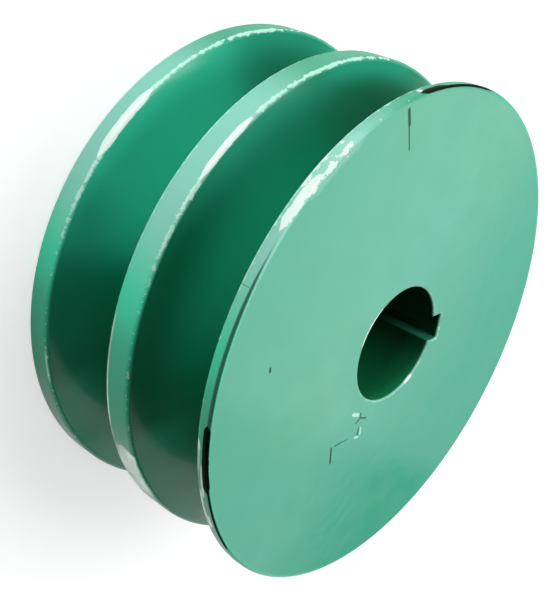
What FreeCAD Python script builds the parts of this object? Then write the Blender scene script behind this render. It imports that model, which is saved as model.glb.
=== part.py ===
import FreeCAD
import Part

import math
import os

# Alternator pulley for V belts, turned from one solid blank and painted.
# It stands on its rear face at Z = 0, its bore runs along Z, and the keyway opens towards +X.

# Rim: the outside diameter, and the lands left standing on it.
outside_diameter = 72.0
front_land = 1.8
middle_land = 4.0
rear_land = 3.4

# Belt grooves: the width is taken across the mouth, the angle between the two walls.
groove_count = 2
groove_width = 12.3
groove_depth = 13.0
groove_angle = 36.0

# Bore for the shaft, with a broached keyway whose depth is measured from the bore's wall.
bore_diameter = 17.0
keyway_width = 4.0
keyway_depth = 1.8
keyway_root_radius = 0.25

# Edges broken in turning. Each bevel is what it takes off both sides of its corner.
face_edge_bevel = 0.4
groove_lip_bevel = 0.5
bore_edge_bevel = 0.25

outside_radius = outside_diameter / 2
bore_radius = bore_diameter / 2
land_total = front_land + rear_land + (groove_count - 1) * middle_land
pulley_width = land_total + groove_count * groove_width


def groove_corners(mouth_low):
    """Corners of one groove, up the rim from the height where its mouth begins."""
    wall_run = groove_depth * math.tan(math.radians(groove_angle / 2))
    root_radius = outside_radius - groove_depth
    mouth_high = mouth_low + groove_width
    return [
        (outside_radius, mouth_low, groove_lip_bevel),
        (root_radius, mouth_low + wall_run, 0),
        (root_radius, mouth_high - wall_run, 0),
        (outside_radius, mouth_high, groove_lip_bevel),
    ]


def turned_outline():
    """Closed outline of the half section, bore to rim, with the bevel of each corner cut."""
    corners = [
        (bore_radius, 0, bore_edge_bevel),
        (outside_radius, 0, face_edge_bevel),
    ]
    for groove in range(groove_count):
        corners += groove_corners(rear_land + groove * (groove_width + middle_land))
    corners += [
        (outside_radius, pulley_width, face_edge_bevel),
        (bore_radius, pulley_width, bore_edge_bevel),
    ]
    points = [FreeCAD.Vector(radius, 0, height) for radius, height, bevel in corners]
    outline = []
    for index, point in enumerate(points):
        bevel = corners[index][2]
        if bevel == 0:
            outline.append(point)
            continue
        to_last = (points[index - 1] - point).normalize()
        to_next = (points[(index + 1) % len(points)] - point).normalize()
        outline += [point + to_last * bevel, point + to_next * bevel]
    return Part.makePolygon(outline + outline[:1])


def turned_body():
    """The half section turned once round the axis of the bore."""
    axis = FreeCAD.Vector(0, 0, 1)
    return Part.Face(turned_outline()).revolve(FreeCAD.Vector(0, 0, 0), axis, 360)


def keyway():
    """What the broach takes out: from the bore's axis to the keyway's floor, right through."""
    floor = bore_radius + keyway_depth
    slot = Part.makeBox(
        floor, keyway_width, pulley_width, FreeCAD.Vector(0, -keyway_width / 2, 0)
    )
    floor_corners = [
        edge
        for edge in slot.Edges
        if edge.BoundBox.ZLength > pulley_width / 2 and edge.CenterOfMass.x > floor / 2
    ]
    return slot.makeFillet(keyway_root_radius, floor_corners)


pulley = turned_body().cut(keyway())

os.makedirs("parts", exist_ok=True)
pulley.exportStep("parts/pulley.step")
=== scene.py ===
import math

import bpy
from mathutils import Matrix, Vector


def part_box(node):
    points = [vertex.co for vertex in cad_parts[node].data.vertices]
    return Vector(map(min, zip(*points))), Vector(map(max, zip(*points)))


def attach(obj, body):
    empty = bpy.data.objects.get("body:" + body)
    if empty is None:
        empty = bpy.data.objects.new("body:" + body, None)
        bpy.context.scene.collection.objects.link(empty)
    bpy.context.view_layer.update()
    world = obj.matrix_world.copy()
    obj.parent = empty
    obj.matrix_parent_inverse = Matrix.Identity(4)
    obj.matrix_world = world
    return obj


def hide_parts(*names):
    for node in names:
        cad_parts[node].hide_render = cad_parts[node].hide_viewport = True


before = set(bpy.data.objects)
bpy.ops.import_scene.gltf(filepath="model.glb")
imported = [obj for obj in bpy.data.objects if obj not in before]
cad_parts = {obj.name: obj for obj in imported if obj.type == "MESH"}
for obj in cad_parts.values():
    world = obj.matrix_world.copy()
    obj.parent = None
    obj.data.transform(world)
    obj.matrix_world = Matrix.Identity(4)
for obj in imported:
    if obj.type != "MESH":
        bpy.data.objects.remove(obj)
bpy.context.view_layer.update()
MM = 0.001

# The pulley's body: one blank of grey iron, turned to shape with two V grooves for belts,
# bored, and slotted through the bore for the shaft's key. Its edges are broken by turning.
_, top_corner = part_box("pulley")
rim_radius = top_corner.x
pulley_width = top_corner.z
rear_land = 3.4 * MM
middle_land = 4.0 * MM
groove_width = 12.3 * MM
groove_depth = 13.0 * MM
groove_wall_lean = math.radians(18)
groove_mouths = (rear_land, rear_land + groove_width + middle_land)
bore_radius = 8.5 * MM
keyway_width = 4.0 * MM
keyway_floor = bore_radius + 1.8 * MM

# How far each rounded edge reaches along both sides of its corner, and how far beside it a ring of
# points holds the flat surface flat.
face_edge = 0.4 * MM
groove_lip = 0.5 * MM
groove_root = 0.5 * MM
bore_edge = 0.25 * MM
keyway_root = 0.25 * MM
support = 0.06 * MM

# Facets: round the axis, over an edge of the rim, and over an edge of the bore's mouth. Of those
# round the axis the bore's arc takes most, and the keyway's walls, roots and floor the rest.
steps_round = 360
steps_per_edge = 6
mouth_steps = 3
arc_steps = 330
wall_steps = 4
root_steps = 3
sharp_angle = math.radians(32)


def eased_corner(before, corner, after, reach):
    """Points of the arc that leaves both sides of a corner at the given reach from it."""
    to_before = (before - corner).normalized()
    to_after = (after - corner).normalized()
    half_angle = to_before.angle(to_after) / 2
    arc_radius = reach * math.tan(half_angle)
    centre = corner + (to_before + to_after).normalized() * (arc_radius / math.sin(half_angle))
    start = corner + to_before * reach - centre
    end = corner + to_after * reach - centre
    turn = start.angle(end)
    points = []
    for step in range(steps_per_edge + 1):
        share = step / steps_per_edge
        spoke = start * math.sin((1 - share) * turn) + end * math.sin(share * turn)
        points.append(centre + spoke / math.sin(turn))
    return points


def rim_outline():
    """Points (radius, height) of the turned rim, from the rear face's edge to the front face's."""
    wall_run = groove_depth * math.tan(groove_wall_lean)
    root = rim_radius - groove_depth
    corners = [(rim_radius, 0, face_edge)]
    for mouth_low in groove_mouths:
        mouth_high = mouth_low + groove_width
        corners += [
            (rim_radius, mouth_low, groove_lip),
            (root, mouth_low + wall_run, groove_root),
            (root, mouth_high - wall_run, groove_root),
            (rim_radius, mouth_high, groove_lip),
        ]
    corners.append((rim_radius, pulley_width, face_edge))
    places = [Vector((radius, height)) for radius, height, _ in corners]
    places = [Vector((bore_radius, 0)), *places, Vector((bore_radius, pulley_width))]
    outline = []
    for index, (_, _, reach) in enumerate(corners, start=1):
        before, corner, after = places[index - 1 : index + 2]
        arc = eased_corner(before, corner, after, reach)
        outline.append(arc[0] + (before - corner).normalized() * support)
        outline += arc
        outline.append(arc[-1] + (after - corner).normalized() * support)
    return outline


def bore_outline(grown):
    """Points (x, y) round the bore and its keyway, the metal cut back by the distance grown."""
    radius = bore_radius + grown
    side = keyway_width / 2 + grown
    floor_x = keyway_floor + grown
    mouth = math.asin(side / radius)
    mouth_x = radius * math.cos(mouth)
    outline = []
    for step in range(arc_steps + 1):
        angle = mouth + (2 * math.pi - 2 * mouth) * step / arc_steps
        outline.append(Vector((radius * math.cos(angle), radius * math.sin(angle))))
    lower_root = [
        Vector((floor_x, -side)) + Vector((math.sin(a) - 1, 1 - math.cos(a))) * keyway_root
        for a in (math.radians(90 * step / root_steps) for step in range(root_steps + 1))
    ]
    upper_root = [Vector((point.x, -point.y)) for point in reversed(lower_root)]
    wall_run = lower_root[0].x - mouth_x
    wall = [mouth_x + wall_run * step / wall_steps for step in range(1, wall_steps)]
    floor_steps = steps_round - arc_steps - 1 - 2 * len(wall) - 2 * len(lower_root)
    outline += [Vector((x, -side)) for x in wall]
    outline += lower_root
    for step in range(1, floor_steps + 1):
        outline.append(lower_root[-1].lerp(upper_root[0], step / (floor_steps + 1)))
    outline += upper_root
    outline += [Vector((x, side)) for x in reversed(wall)]
    return outline


def turned_rings():
    """Rings of points round the axis: up the rim, over the front face, and down through the bore."""
    headings = [math.atan2(point.y, point.x) for point in bore_outline(0)]
    rings = []
    for radius, height in rim_outline():
        rings.append([Vector((radius * math.cos(a), radius * math.sin(a), height)) for a in headings])
    profile = [(bore_edge + support, 0.0)]
    for step in range(mouth_steps + 1):
        angle = math.pi / 2 * step / mouth_steps
        profile.append((bore_edge * (1 - math.sin(angle)), bore_edge * (1 - math.cos(angle))))
    profile.append((0.0, bore_edge + support))
    for grown, drop in profile:
        rings.append([Vector((p.x, p.y, pulley_width - drop)) for p in bore_outline(grown)])
    for grown, drop in reversed(profile):
        rings.append([Vector((p.x, p.y, drop)) for p in bore_outline(grown)])
    return rings


def body_mesh():
    """The closed skin of the pulley, smooth over its arcs and sharp at its corners."""
    rings = turned_rings()
    count = len(rings[0])
    points = [point for ring in rings for point in ring]
    faces = []
    for ring in range(len(rings)):
        low = ring * count
        high = (ring + 1) % len(rings) * count
        for left in range(count):
            right = (left + 1) % count
            faces.append((low + left, low + right, high + right, high + left))
    mesh = bpy.data.meshes.new("pulley_body")
    mesh.from_pydata(points, [], faces)
    mesh.shade_smooth()
    mesh.set_sharp_from_angle(angle=sharp_angle)
    mesh.update()
    return mesh


body = bpy.data.objects.new("pulley_body", body_mesh())
bpy.context.scene.collection.objects.link(body)


def linear(hex_colour):
    """Linear RGBA of an sRGB hex colour."""
    channels = [int(hex_colour[i : i + 2], 16) / 255 for i in (1, 3, 5)]
    return [c / 12.92 if c <= 0.04045 else ((c + 0.055) / 1.055) ** 2.4 for c in channels] + [1.0]


def add(tree, kind, settings=None, **links):
    """Adds a node with its settings. A link names a socket, or gives its number after a low line."""
    node = tree.nodes.new(kind)
    for name, value in (settings or {}).items():
        setattr(node, name, value)
    for socket, value in links.items():
        key = int(socket[1:]) if socket[1:].isdigit() else socket.replace("_", " ")
        if hasattr(value, "is_output"):
            tree.links.new(value, node.inputs[key])
        else:
            node.inputs[key].default_value = value
    return node


# Alkyd enamel, sprayed on thick over pale primer and left to flow out. It gives the eye a deep,
# even sea green under a wet gloss, with the faint waviness of orange peel where a lamp shows in it.
enamel = bpy.data.materials.new("sprayed_enamel")
enamel.use_nodes = True
coat = enamel.node_tree
shader = coat.nodes["Principled BSDF"]
shader.inputs["IOR"].default_value = 1.5

# Settings that many nodes share: a mask that eases in and out, and a mix of two colours.
eased = {"interpolation_type": "SMOOTHSTEP"}
tints = {"data_type": "RGBA"}

# The pulley's sizes and where a point lies on it, in millimetres: in space, and on the turned
# section as radius and height.
rim = rim_radius / MM
front = pulley_width / MM
bore = bore_radius / MM
half_groove = groove_width / 2 / MM
half_keyway = keyway_width / 2 / MM
coordinates = add(coat, "ShaderNodeTexCoord").outputs["Object"]
place = add(
    coat, "ShaderNodeVectorMath", {"operation": "SCALE"}, _0=coordinates, Scale=1 / MM
).outputs[0]
across, along, height = add(coat, "ShaderNodeSeparateXYZ", Vector=place).outputs
flat = add(coat, "ShaderNodeVectorMath", {"operation": "MULTIPLY"}, _0=place, _1=(1, 1, 0)).outputs[0]
radius = add(coat, "ShaderNodeVectorMath", {"operation": "LENGTH"}, _0=flat).outputs["Value"]
heading = add(coat, "ShaderNodeVectorMath", {"operation": "NORMALIZE"}, _0=flat).outputs[0]
section = add(coat, "ShaderNodeCombineXYZ", X=radius, Z=height).outputs[0]


def chain(operation, values):
    """One value out of many: the largest or the smallest of them, or their product."""
    joined = values[0]
    for value in values[1:]:
        joined = add(coat, "ShaderNodeMath", {"operation": operation}, _0=joined, _1=value).outputs[0]
    return joined


def facing(azimuth, half_spread, fade):
    """A mask round the axis, in degrees: 1 within half the spread of the azimuth, then fading to 0."""
    towards = (math.cos(math.radians(azimuth)), math.sin(math.radians(azimuth)), 0)
    turned = add(coat, "ShaderNodeVectorMath", {"operation": "DOT_PRODUCT"}, _0=heading, _1=towards)
    return add(
        coat, "ShaderNodeMapRange", eased, Value=turned.outputs["Value"],
        From_Min=math.cos(math.radians(half_spread + fade)),
        From_Max=math.cos(math.radians(half_spread)),
    ).outputs[0]


# The sprayed colour drifts slowly, in patches about 22 mm across, with fainter clouds of 5 mm in
# them. Each layer over it is a mask and a colour, in the order in which they lie.
drift = add(
    coat, "ShaderNodeTexNoise", Vector=place, Scale=1 / 22, Detail=2.0, Roughness=0.45
).outputs[0]
drifted = add(coat, "ShaderNodeMapRange", eased, Value=drift, From_Min=0.32, From_Max=0.68).outputs[0]
sprayed = add(
    coat, "ShaderNodeMix", tints, _0=drifted, _6=linear("#27A788"), _7=linear("#2FA785")
).outputs[2]
cloud = add(coat, "ShaderNodeTexNoise", Vector=place, Scale=1 / 5, Detail=3.0, Roughness=0.55).outputs[0]
clouds = add(coat, "ShaderNodeMapRange", Value=cloud, From_Min=0.35, From_Max=0.65).outputs[0]
cloud_strength = 0.1
layers = [(chain("MULTIPLY", [clouds, cloud_strength]), linear("#279071"))]

# Distance from the nearest of the grooves' lips, and from the nearest of all six edges of the rim,
# where wet paint pulls thin and the primer pales it.
edge_heights = [mouth + side for mouth in groove_mouths for side in (0.0, groove_width)]
edge_heights += [0.0, pulley_width]
gaps = []
for edge_height in edge_heights:
    corner = (rim, 0, edge_height / MM)
    gaps.append(
        add(coat, "ShaderNodeVectorMath", {"operation": "DISTANCE"}, _0=section, _1=corner).outputs["Value"]
    )
lip_gap = chain("MINIMUM", gaps[:4])
edge_gap = chain("MINIMUM", [lip_gap, *gaps[4:]])
thin_coat = add(
    coat, "ShaderNodeMapRange", eased,
    Value=edge_gap, From_Min=0.15, From_Max=0.55, To_Min=0.45, To_Max=0.0,
).outputs[0]
layers.append((thin_coat, linear("#8FD8BF")))

# On the three lands the paint is painted lighter, as painted light on their outward faces. Round the
# axis one window is painted darker as painted shade, one brighter as painted light, and one pale and
# milky as a painted sheen.
on_land = add(
    coat, "ShaderNodeMapRange", eased, Value=radius, From_Min=rim - 0.7, From_Max=rim - 0.2
).outputs[0]
layers.append((on_land, linear("#30B890")))
for azimuth, half_spread, fade, tone in (
    (96, 16, 16, "#2A9A77"), (156, 8, 12, "#38D4A6"), (134, 8, 24, "#7CC4B0")
):
    layers.append((chain("MULTIPLY", [on_land, facing(azimuth, half_spread, fade)]), linear(tone)))

# In the grooves the paint is painted darker, more so towards the root: painted shade in the recess.
sunk = add(
    coat, "ShaderNodeMapRange", eased, Value=radius, From_Min=rim - 0.6, From_Max=rim - 8.0
).outputs[0]
below_lip = add(
    coat, "ShaderNodeMapRange", eased, Value=radius, From_Min=rim - 0.1, From_Max=rim - 0.6
).outputs[0]
clear_of_bore = 14.0
out_of_bore = add(
    coat, "ShaderNodeMath", {"operation": "GREATER_THAN"}, _0=radius, _1=clear_of_bore
).outputs[0]

# Painted light and shade in the grooves, patch by patch round the axis: lighter where light falls on
# the wall, darker where the lips shade it, each groove at a place of its own. A patch is its azimuth,
# half spread and fade in degrees, the most it covers, its reach down from the rim, and its tone.
rear_groove_light_and_shade = (
    (130, 16, 24, 1.0, 39, "#2DB692"), (184, 10, 14, 0.7, 39, "#0A6C4C"), (165, 8, 12, 0.3, 8, "#0A6C4C"),
    (84, 8, 16, 0.4, 39, "#0A6C4C"), (212, 12, 8, 0.7, 8, "#2DB692"),
)
front_groove_light_and_shade = (
    (147, 14, 24, 0.25, 39, "#2FBB91"), (168, 12, 26, 0.95, 9, "#0A6C4C"), (120, 14, 14, 0.3, 9, "#0A6C4C"),
    (82, 8, 22, 0.75, 39, "#0A6C4C"), (86, 8, 14, 0.5, 4, "#2DB692"), (194, 6, 10, 0.25, 39, "#0A6C4C"),
    (212, 12, 8, 0.9, 10, "#2DB692"),
)
for mouth_low, light_and_shade_patches in zip(groove_mouths, (rear_groove_light_and_shade, front_groove_light_and_shade)):
    groove_middle = (mouth_low + groove_width / 2) / MM
    off_middle = add(
        coat, "ShaderNodeMath", {"operation": "SUBTRACT"}, _0=height, _1=groove_middle
    ).outputs[0]
    off_middle = add(coat, "ShaderNodeMath", {"operation": "ABSOLUTE"}, _0=off_middle).outputs[0]
    in_groove = add(
        coat, "ShaderNodeMapRange", Value=off_middle, From_Min=half_groove + 0.1, From_Max=half_groove - 0.1
    ).outputs[0]
    in_groove = chain("MULTIPLY", [in_groove, out_of_bore])
    layers.append((chain("MULTIPLY", [in_groove, sunk]), linear("#17906C")))
    for azimuth, half_spread, fade, most, reach, tone in light_and_shade_patches:
        patch_depth = add(
            coat, "ShaderNodeMapRange", eased,
            Value=radius, From_Min=rim - reach, From_Max=rim - reach / 4, To_Max=most,
        ).outputs[0]
        share = chain("MULTIPLY", [in_groove, below_lip, patch_depth, facing(azimuth, half_spread, fade)])
        layers.append((share, linear(tone)))

# Flakes, about a millimetre across, give every worn place and every painted patch its uneven edge.
flake = add(
    coat, "ShaderNodeTexNoise", Vector=place, Scale=1 / 0.9, Detail=3.0, Roughness=0.6
).outputs[0]

# The grooves' lips are worn to the pale primer in fine nicks, most on the scuffed side. Wear eats
# in from the lip for as many millimetres as it is stronger than the coat.
nick_strength = 1.3
side_strength = 0.25
coat_holds, coat_gone = 0.55, 0.66
nick = add(coat, "ShaderNodeTexNoise", Vector=place, Scale=1 / 0.8, Detail=3.0, Roughness=0.6).outputs[0]
worn_side = chain("MULTIPLY", [facing(120, 26, 22), side_strength])
wear = add(
    coat, "ShaderNodeMath", {"operation": "MULTIPLY_ADD"}, _0=nick, _1=nick_strength, _2=worn_side
).outputs[0]
wear = add(coat, "ShaderNodeMath", {"operation": "SUBTRACT"}, _0=wear, _1=lip_gap).outputs[0]
nicked = add(coat, "ShaderNodeMapRange", Value=wear, From_Min=coat_holds, From_Max=coat_gone).outputs[0]
layers.append((nicked, linear("#AFE0CE")))


def rim_patch(azimuth, half_spread, fade, at_radius, at_height, half_width, ragged=0.1, soft=0.04):
    """A mask of a ragged strip that runs round the rim, widest at the azimuth."""
    centre = (at_radius, 0, at_height)
    gap = add(
        coat, "ShaderNodeVectorMath", {"operation": "DISTANCE"}, _0=section, _1=centre
    ).outputs["Value"]
    gap = add(
        coat, "ShaderNodeMath", {"operation": "MULTIPLY_ADD"}, _0=flake, _1=ragged, _2=gap
    ).outputs[0]
    width = chain("MULTIPLY", [facing(azimuth, half_spread, fade), half_width + soft + ragged / 2])
    depth = add(coat, "ShaderNodeMath", {"operation": "SUBTRACT"}, _0=width, _1=gap).outputs[0]
    return add(coat, "ShaderNodeMapRange", Value=depth, From_Min=0.0, From_Max=2 * soft).outputs[0]


# On the front face's edge, where a lamp's highlight lies, a painted highlight: a pale haze, and pale
# chips where it breaks up. Round all the edges the coat also flakes off in real chips. Away from the
# edges a flake holds better, by a share for each millimetre.
highlight_haze_strength = 0.3
highlight_chip_strength = 0.26
hold_per_millimetre = 0.32
flake_holds, flake_gone = 0.61, 0.66
painted_highlight_haze = rim_patch(126, 5, 7, 35.8, 33.5, 1.2, ragged=0.9, soft=0.3)
layers.append((chain("MULTIPLY", [painted_highlight_haze, highlight_haze_strength]), linear("#9AD9C4")))
highlight_place = rim_patch(127, 4, 4, 35.8, 33.2, 1.6, soft=0.2)
loose = add(
    coat, "ShaderNodeMath", {"operation": "MULTIPLY_ADD"}, _0=edge_gap, _1=-hold_per_millimetre, _2=flake
).outputs[0]
loose = add(
    coat, "ShaderNodeMath", {"operation": "MULTIPLY_ADD"}, _0=highlight_place, _1=highlight_chip_strength, _2=loose
).outputs[0]
chips_and_painted_highlight = add(
    coat, "ShaderNodeMapRange", Value=loose, From_Min=flake_holds, From_Max=flake_gone
).outputs[0]
layers.append((chips_and_painted_highlight, linear("#D9EDE4")))

# Painted highlights: strips along the three lands' edges, pale where a lamp's highlight lies on them,
# and two flecks of pale primer.
highlights_and_flecks = chain("MAXIMUM", [
    rim_patch(134.5, 5, 6, 36.0, 3.15, 0.68, ragged=0.3),
    rim_patch(131, 4, 6, 35.95, 19.55, 0.46, ragged=0.4),
    rim_patch(135.5, 3, 5, 36.0, 33.25, 0.6, ragged=0.7),
    rim_patch(98.9, 0.3, 0.5, 36.0, 32.85, 0.36),
    rim_patch(163, 0.15, 0.3, 36.0, 32.1, 0.2),
])
layers.append((highlights_and_flecks, linear("#DDF0E8")))

# Painted reflection: pale strips on the lips further round, and a patch of the middle land, where the
# lips catch the board's reflection at a grazing angle, drawn as polished iron.
pale_reflection = chain("MAXIMUM", [
    rim_patch(187, 1.5, 3.5, 36.0, 32.3, 0.34, ragged=0.3, soft=0.12),
    rim_patch(193, 3, 2, 36.0, 32.85, 0.2),
    rim_patch(199.5, 3, 2, 36.0, 32.4, 0.24),
    rim_patch(204.5, 1, 2, 36.0, 32.8, 0.35, ragged=0.5),
    rim_patch(184, 12, 6, 36.0, 16.05, 0.17, soft=0.08),
    rim_patch(191, 2, 5, 36.0, 3.3, 0.16, soft=0.12),
    rim_patch(208, 7, 2.5, 36.0, 17.7, 1.9, ragged=0.5, soft=0.12),
])
reflection_tone = add(
    coat, "ShaderNodeMix", tints, _0=clouds, _6=linear("#7F9C8F"), _7=linear("#D5DFDA")
).outputs[2]
layers.append((pale_reflection, reflection_tone))

# The broken edge of the front face: painted shade lies dark along it, and in three stretches it is
# painted black, as bare dark iron. One short stretch has rusted, and one hair crack crosses the land.
shade_strength = 0.9
painted_shade_line = rim_patch(172, 6, 28, 35.95, 33.65, 0.27, ragged=0.06, soft=0.08)
layers.append((chain("MULTIPLY", [painted_shade_line, shade_strength]), linear("#04412C")))
painted_dark_strips = chain("MAXIMUM", [
    rim_patch(187.5, 6.5, 2, 36.0, 33.45, 0.48),
    rim_patch(204, 9, 3, 35.95, 33.7, 0.16, ragged=0.06),
    rim_patch(85, 8, 6, 35.95, 33.72, 0.24, ragged=0.04),
])
layers.append((painted_dark_strips, linear("#06140D")))
rusted = rim_patch(95.5, 1.6, 3.6, 36.0, 33.45, 0.44)
layers.append((rusted, linear("#1E2410")))
cracked = rim_patch(152.9, 0.02, 0.08, 36.0, 32.8, 0.8, ragged=0.3)
layers.append((cracked, linear("#2A8A68")))
shade_and_rust = chain("MAXIMUM", [painted_dark_strips, rusted])
# Metallic: the strips of painted shade, the rust and the painted reflection are drawn as bare iron.
coat.links.new(chain("MAXIMUM", [shade_and_rust, pale_reflection]), shader.inputs["Metallic"])

# Scratches and knocks on the front face: from and to in millimetres, and half the width.
dark_marks = [
    ((-8.5, 33.8), (-7.8, 31.9), 0.26),
    ((-7.8, 31.7), (-6.8, 28.7), 0.10),
    ((-26.9, 4.9), (-26.8, 4.4), 0.16),
    ((-5.6, -9.0), (-5.6, -9.8), 0.11),
    ((-5.6, -9.8), (-6.3, -10.4), 0.13),
    ((-5.6, -9.8), (-4.1, -10.3), 0.10),
    ((-5.4, -11.5), (-5.5, -12.5), 0.14),
    ((-7.7, -12.5), (-9.0, -12.4), 0.05),
    ((-9.0, -12.4), (-10.4, -12.5), 0.10),
    ((-11.2, -12.6), (-10.8, -15.1), 0.18),
]
pale_marks = [
    ((-7.4, -8.6), (-6.2, -9.1), 0.30),
    ((-5.0, -11.6), (-4.8, -12.7), 0.18),
    ((-5.9, -12.9), (-5.3, -13.0), 0.20),
    ((10.45, -0.4), (10.45, -0.6), 0.22),
]


def marked(marks):
    """A mask of the marks: each distance from a line is taken as a share of its half width."""
    distances = []
    for start, end, half_width in marks:
        start = Vector((*start, front))
        run = Vector((*end, front)) - start
        from_start = add(
            coat, "ShaderNodeVectorMath", {"operation": "SUBTRACT"}, _0=place, _1=start
        ).outputs[0]
        share = add(
            coat, "ShaderNodeVectorMath", {"operation": "DOT_PRODUCT"},
            _0=from_start, _1=run / run.length_squared,
        ).outputs["Value"]
        share = add(coat, "ShaderNodeClamp", Value=share).outputs[0]
        foot = add(coat, "ShaderNodeVectorMath", {"operation": "SCALE"}, _0=run, Scale=share).outputs[0]
        gap = add(
            coat, "ShaderNodeVectorMath", {"operation": "DISTANCE"}, _0=from_start, _1=foot
        ).outputs["Value"]
        distances.append(
            add(coat, "ShaderNodeMath", {"operation": "DIVIDE"}, _0=gap, _1=half_width).outputs[0]
        )
    nearest = chain("MINIMUM", distances)
    return add(coat, "ShaderNodeMapRange", eased, Value=nearest, From_Min=1.3, From_Max=0.6).outputs[0]


scratched = marked(dark_marks)
grazed = marked(pale_marks)
layers.append((grazed, linear("#A6E3CB")))
layers.append((scratched, linear("#0C4A34")))

# Inside the bore the paint is painted dark as painted shade, and green on one side as painted light.
# One wall of the keyway's front half is painted lighter towards the front face: more painted light.
near_bore = add(
    coat, "ShaderNodeMapRange",
    Value=radius, From_Min=keyway_floor / MM + 0.4, From_Max=keyway_floor / MM + 0.2,
).outputs[0]
clear_of_front = add(
    coat, "ShaderNodeMapRange", eased, Value=height, From_Min=front - 0.1, From_Max=front - 0.5
).outputs[0]
clear_of_rear = add(coat, "ShaderNodeMapRange", Value=height, From_Min=0.1, From_Max=0.5).outputs[0]
in_bore = chain("MULTIPLY", [near_bore, clear_of_front, clear_of_rear])
bore_light_and_shade = add(
    coat, "ShaderNodeMix", tints, _0=facing(268, 20, 75), _6=linear("#0B2A1D"), _7=linear("#1E8A56")
).outputs[2]
on_wall = add(
    coat, "ShaderNodeMapRange", Value=along, From_Min=0.15 - half_keyway, From_Max=0.03 - half_keyway
).outputs[0]
past_bore = add(coat, "ShaderNodeMapRange", Value=across, From_Min=bore - 0.3, From_Max=bore).outputs[0]
outward = add(
    coat, "ShaderNodeMapRange",
    Value=height, From_Min=front - 11.0, From_Max=front - 0.5, To_Max=0.85,
).outputs[0]
lit_wall = chain("MULTIPLY", [on_wall, past_bore, outward])
bore_light_and_shade = add(coat, "ShaderNodeMix", tints, _0=lit_wall, _6=bore_light_and_shade, _7=linear("#3DA585")).outputs[2]
layers.append((in_bore, bore_light_and_shade))

# Round its mouth and the keyway's, at both faces, the edge is worn pale. On one side it is painted
# white as a highlight, and it is white at one more place where the shaft's washer bit into it.
aside = add(coat, "ShaderNodeMath", {"operation": "ABSOLUTE"}, _0=along).outputs[0]
aside = add(coat, "ShaderNodeMath", {"operation": "SUBTRACT"}, _0=aside, _1=half_keyway).outputs[0]
beyond = add(
    coat, "ShaderNodeMath", {"operation": "SUBTRACT"}, _0=across, _1=keyway_floor / MM
).outputs[0]
behind = chain("MULTIPLY", [across, -1.0])
from_bore = add(coat, "ShaderNodeMath", {"operation": "SUBTRACT"}, _0=radius, _1=bore).outputs[0]
from_mouth = chain("MINIMUM", [from_bore, chain("MAXIMUM", [aside, beyond, behind])])
from_mouth = add(
    coat, "ShaderNodeMath", {"operation": "MULTIPLY_ADD"}, _0=flake, _1=-0.5, _2=from_mouth
).outputs[0]
to_middle = add(coat, "ShaderNodeMath", {"operation": "SUBTRACT"}, _0=height, _1=front / 2).outputs[0]
to_middle = add(coat, "ShaderNodeMath", {"operation": "ABSOLUTE"}, _0=to_middle).outputs[0]
at_face = add(
    coat, "ShaderNodeMapRange", Value=to_middle, From_Min=front / 2 - 0.28, From_Max=front / 2 - 0.18
).outputs[0]
highlight_and_bite = chain("MAXIMUM", [facing(147, 14, 8), facing(305, 3, 4)])
for mask_from, mask_to, share, tone in ((0.05, -0.15, 0.7, "#9FDCC6"), (0.18, 0.08, highlight_and_bite, "#EEF8F4")):
    ring = add(
        coat, "ShaderNodeMapRange", Value=from_mouth, From_Min=mask_from, From_Max=mask_to
    ).outputs[0]
    layers.append((chain("MULTIPLY", [ring, at_face, share]), linear(tone)))

colour = sprayed
for mask, tone in layers:
    colour = add(coat, "ShaderNodeMix", tints, _0=mask, _6=colour, _7=tone).outputs[2]
coat.links.new(colour, shader.inputs["Base Color"])

# Gloss: the coat dulls a little in slow clouds, more on the scuffed lands, and goes matt on the chips,
# real and painted, and where it is scratched. The strips of painted reflection keep a sheen, and the
# dark strips of painted shade and the rust have next to none.
dull = add(
    coat, "ShaderNodeMapRange", Value=cloud, From_Min=0.3, From_Max=0.7, To_Min=0.14, To_Max=0.21
).outputs[0]
scuffing = chain("MAXIMUM", [facing(98, 26, 12), facing(174, 14, 12)])
scuffing = add(coat, "ShaderNodeMapRange", Value=scuffing, To_Min=0.45, To_Max=1.0).outputs[0]
scuffed_land = chain("MULTIPLY", [on_land, scuffing])
hurt = chain("MAXIMUM", [chips_and_painted_highlight, scratched])
for mask, roughness in ((scuffed_land, 0.5), (hurt, 0.7), (pale_reflection, 0.35), (shade_and_rust, 0.8)):
    dull = add(coat, "ShaderNodeMix", _0=mask, _2=dull, _3=roughness).outputs[0]
coat.links.new(dull, shader.inputs["Roughness"])

# Relief in millimetres: orange peel with waves of 1.6 mm, the turning tool's rings barely showing
# through the coat, and the depth of the chips and scratches.
peel = add(
    coat, "ShaderNodeTexNoise", Vector=place, Scale=1 / 1.6, Detail=1.0, Roughness=0.4
).outputs[0]
rings = add(
    coat, "ShaderNodeTexNoise", Vector=section, Scale=1 / 0.7, Detail=1.0, Roughness=0.5
).outputs[0]
relief = 0.0
for pattern, raised in ((peel, 0.012), (rings, 0.003), (hurt, -0.06)):
    relief = add(
        coat, "ShaderNodeMath", {"operation": "MULTIPLY_ADD"}, _0=pattern, _1=raised, _2=relief
    ).outputs[0]
bump = add(coat, "ShaderNodeBump", Height=relief, Strength=1.0, Distance=MM).outputs[0]
coat.links.new(bump, shader.inputs["Normal"])
body.data.materials.append(enamel)
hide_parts("pulley")
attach(body, "root")

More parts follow.
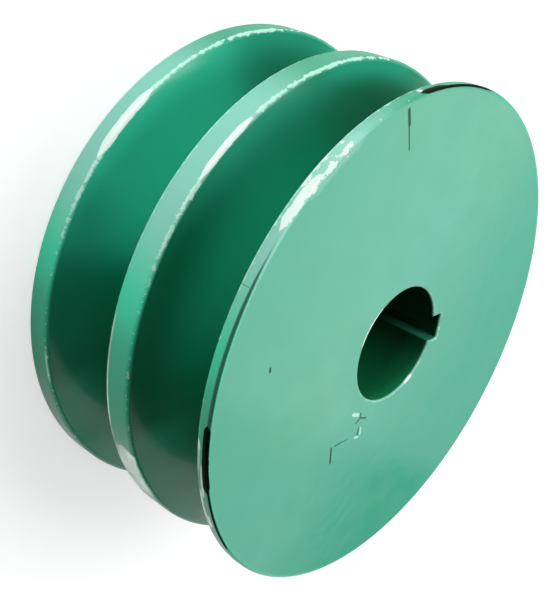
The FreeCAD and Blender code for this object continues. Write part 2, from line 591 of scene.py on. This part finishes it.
# Floor: a wide sheet of matt white board that the pulley stands on. It shows white, whiter far
# from the lamps' reach, and keeps the pulley's soft shadow.
floor_reach = 3.0
floor_corners = [(x * floor_reach, y * floor_reach, 0) for x, y in ((-1, -1), (1, -1), (1, 1), (-1, 1))]
floor_mesh = bpy.data.meshes.new("floor")
floor_mesh.from_pydata(floor_corners, [], [(0, 1, 2, 3)])
floor = bpy.data.objects.new("floor", floor_mesh)
bpy.context.scene.collection.objects.link(floor)
board = bpy.data.materials.new("matt_white_board")
board.use_nodes = True
sheet = board.node_tree
board_shader = sheet.nodes["Principled BSDF"]
board_shader.inputs["Base Color"].default_value = linear("#BEBEBE")
board_shader.inputs["Roughness"].default_value = 0.9
rays = add(sheet, "ShaderNodeLightPath").outputs
shown = add(
    sheet, "ShaderNodeMath", {"operation": "MAXIMUM"}, _0=rays["Is Camera Ray"], _1=rays["Is Glossy Ray"]
).outputs[0]
shown = add(
    sheet, "ShaderNodeMath", {"operation": "MAXIMUM"}, _0=shown, _1=rays["Is Transmission Ray"]
).outputs[0]
on_board = add(sheet, "ShaderNodeTexCoord").outputs["Object"]
away = add(sheet, "ShaderNodeVectorMath", {"operation": "LENGTH"}, _0=on_board).outputs["Value"]
whiter = add(
    sheet, "ShaderNodeMapRange", Value=away, From_Min=0.2, From_Max=0.65, To_Min=0.6, To_Max=1.0
).outputs[0]
lift = add(sheet, "ShaderNodeMath", {"operation": "MULTIPLY"}, _0=shown, _1=whiter).outputs[0]
glow = add(sheet, "ShaderNodeEmission", Strength=lift).outputs[0]
both = add(sheet, "ShaderNodeAddShader", _0=board_shader.outputs[0], _1=glow).outputs[0]
sheet.links.new(both, sheet.nodes["Material Output"].inputs["Surface"])
floor_mesh.materials.append(board)

# Studio: white walls all round. The camera sees them white, the gloss sees them up to the dark
# ceiling, and they throw a low fill besides.
world = bpy.data.worlds.new("studio")
bpy.context.scene.world = world
world.use_nodes = True
studio = world.node_tree
rays = add(studio, "ShaderNodeLightPath").outputs
around = add(studio, "ShaderNodeTexCoord").outputs["Generated"]
rise = add(studio, "ShaderNodeSeparateXYZ", Vector=around).outputs["Z"]
ceiling_from = math.sin(math.radians(14))
ceiling_to = math.sin(math.radians(22))
low_fill = 0.05
walls = add(
    studio, "ShaderNodeMapRange", eased,
    Value=rise, From_Min=ceiling_from, From_Max=ceiling_to, To_Min=1.0, To_Max=low_fill,
).outputs[0]
mirrored = add(
    studio, "ShaderNodeMath", {"operation": "MAXIMUM"},
    _0=rays["Is Glossy Ray"], _1=rays["Is Transmission Ray"],
).outputs[0]
level = add(studio, "ShaderNodeMix", _0=mirrored, _2=low_fill, _3=walls).outputs[0]
level = add(
    studio, "ShaderNodeMath", {"operation": "MAXIMUM"}, _0=level, _1=rays["Is Camera Ray"]
).outputs[0]
background = studio.nodes["Background"]
background.inputs["Color"].default_value = (1, 1, 1, 1)
studio.links.new(level, background.inputs["Strength"])


def softbox(name, azimuth, elevation, distance, wide, high, watts):
    """A rectangular lamp with a diffuser, aimed at the pulley's middle from the given side."""
    lamp = bpy.data.lights.new(name, "AREA")
    lamp.shape = "RECTANGLE"
    lamp.size = wide
    lamp.size_y = high
    lamp.energy = watts
    holder = bpy.data.objects.new(name, lamp)
    bpy.context.scene.collection.objects.link(holder)
    around, up = math.radians(azimuth), math.radians(elevation)
    side = Vector((math.cos(around) * math.cos(up), math.sin(around) * math.cos(up), math.sin(up)))
    holder.location = Vector((0, 0, pulley_width / 2)) + side * distance
    holder.rotation_euler = side.to_track_quat("Z", "Y").to_euler()


# Six lamps with diffusers and cards stand round the pulley, and a small round one looks down on the
# board beside it, which brightens the rim from below.
softbox("overhead_softbox", 48, 70, 0.29, 0.2, 0.15, 0.675)
softbox("low_softbox", 99, 3, 0.5, 0.28, 0.1, 1.5)
softbox("fill_softbox", -33, 45, 0.7, 0.6, 0.45, 1.17)
softbox("second_fill_softbox", -16, 39, 0.7, 0.5, 0.45, 0.47)
softbox("side_card", -74, 48, 0.7, 0.3, 0.3, 0.21)
softbox("low_card", -65, 25, 0.7, 0.25, 0.3, 0.2)
board_lamp = bpy.data.lights.new("board_lamp", "AREA")
board_lamp.shape = "DISK"
board_lamp.size = 0.08
board_lamp.energy = 0.124
board_light = bpy.data.objects.new("board_lamp", board_lamp)
bpy.context.scene.collection.objects.link(board_light)
board_light.location = (-0.105, 0.11, 0.06)

# Camera: a normal lens close to the front face, turned on its side as in the photograph. Its place
# and its axes were solved from the circles of the faces, the lands and the bore.
camera_place = Vector((-107.10, 61.35, 97.26)) * MM
camera_right = Vector((0.66616, 0.13766, 0.73300))
camera_up = Vector((0.23172, 0.89598, -0.37885))
camera_back = camera_right.cross(camera_up)
camera_data = bpy.data.cameras.new("camera")
camera_data.lens = 60.344
camera_data.clip_start = 5 * MM
camera = bpy.data.objects.new("camera", camera_data)
bpy.context.scene.collection.objects.link(camera)
camera_axes = Matrix((camera_right, camera_up, camera_back)).transposed()
camera.matrix_world = Matrix.Translation(camera_place) @ camera_axes.to_4x4()
bpy.context.scene.camera = camera
bpy.context.scene.view_settings.view_transform = "Standard"
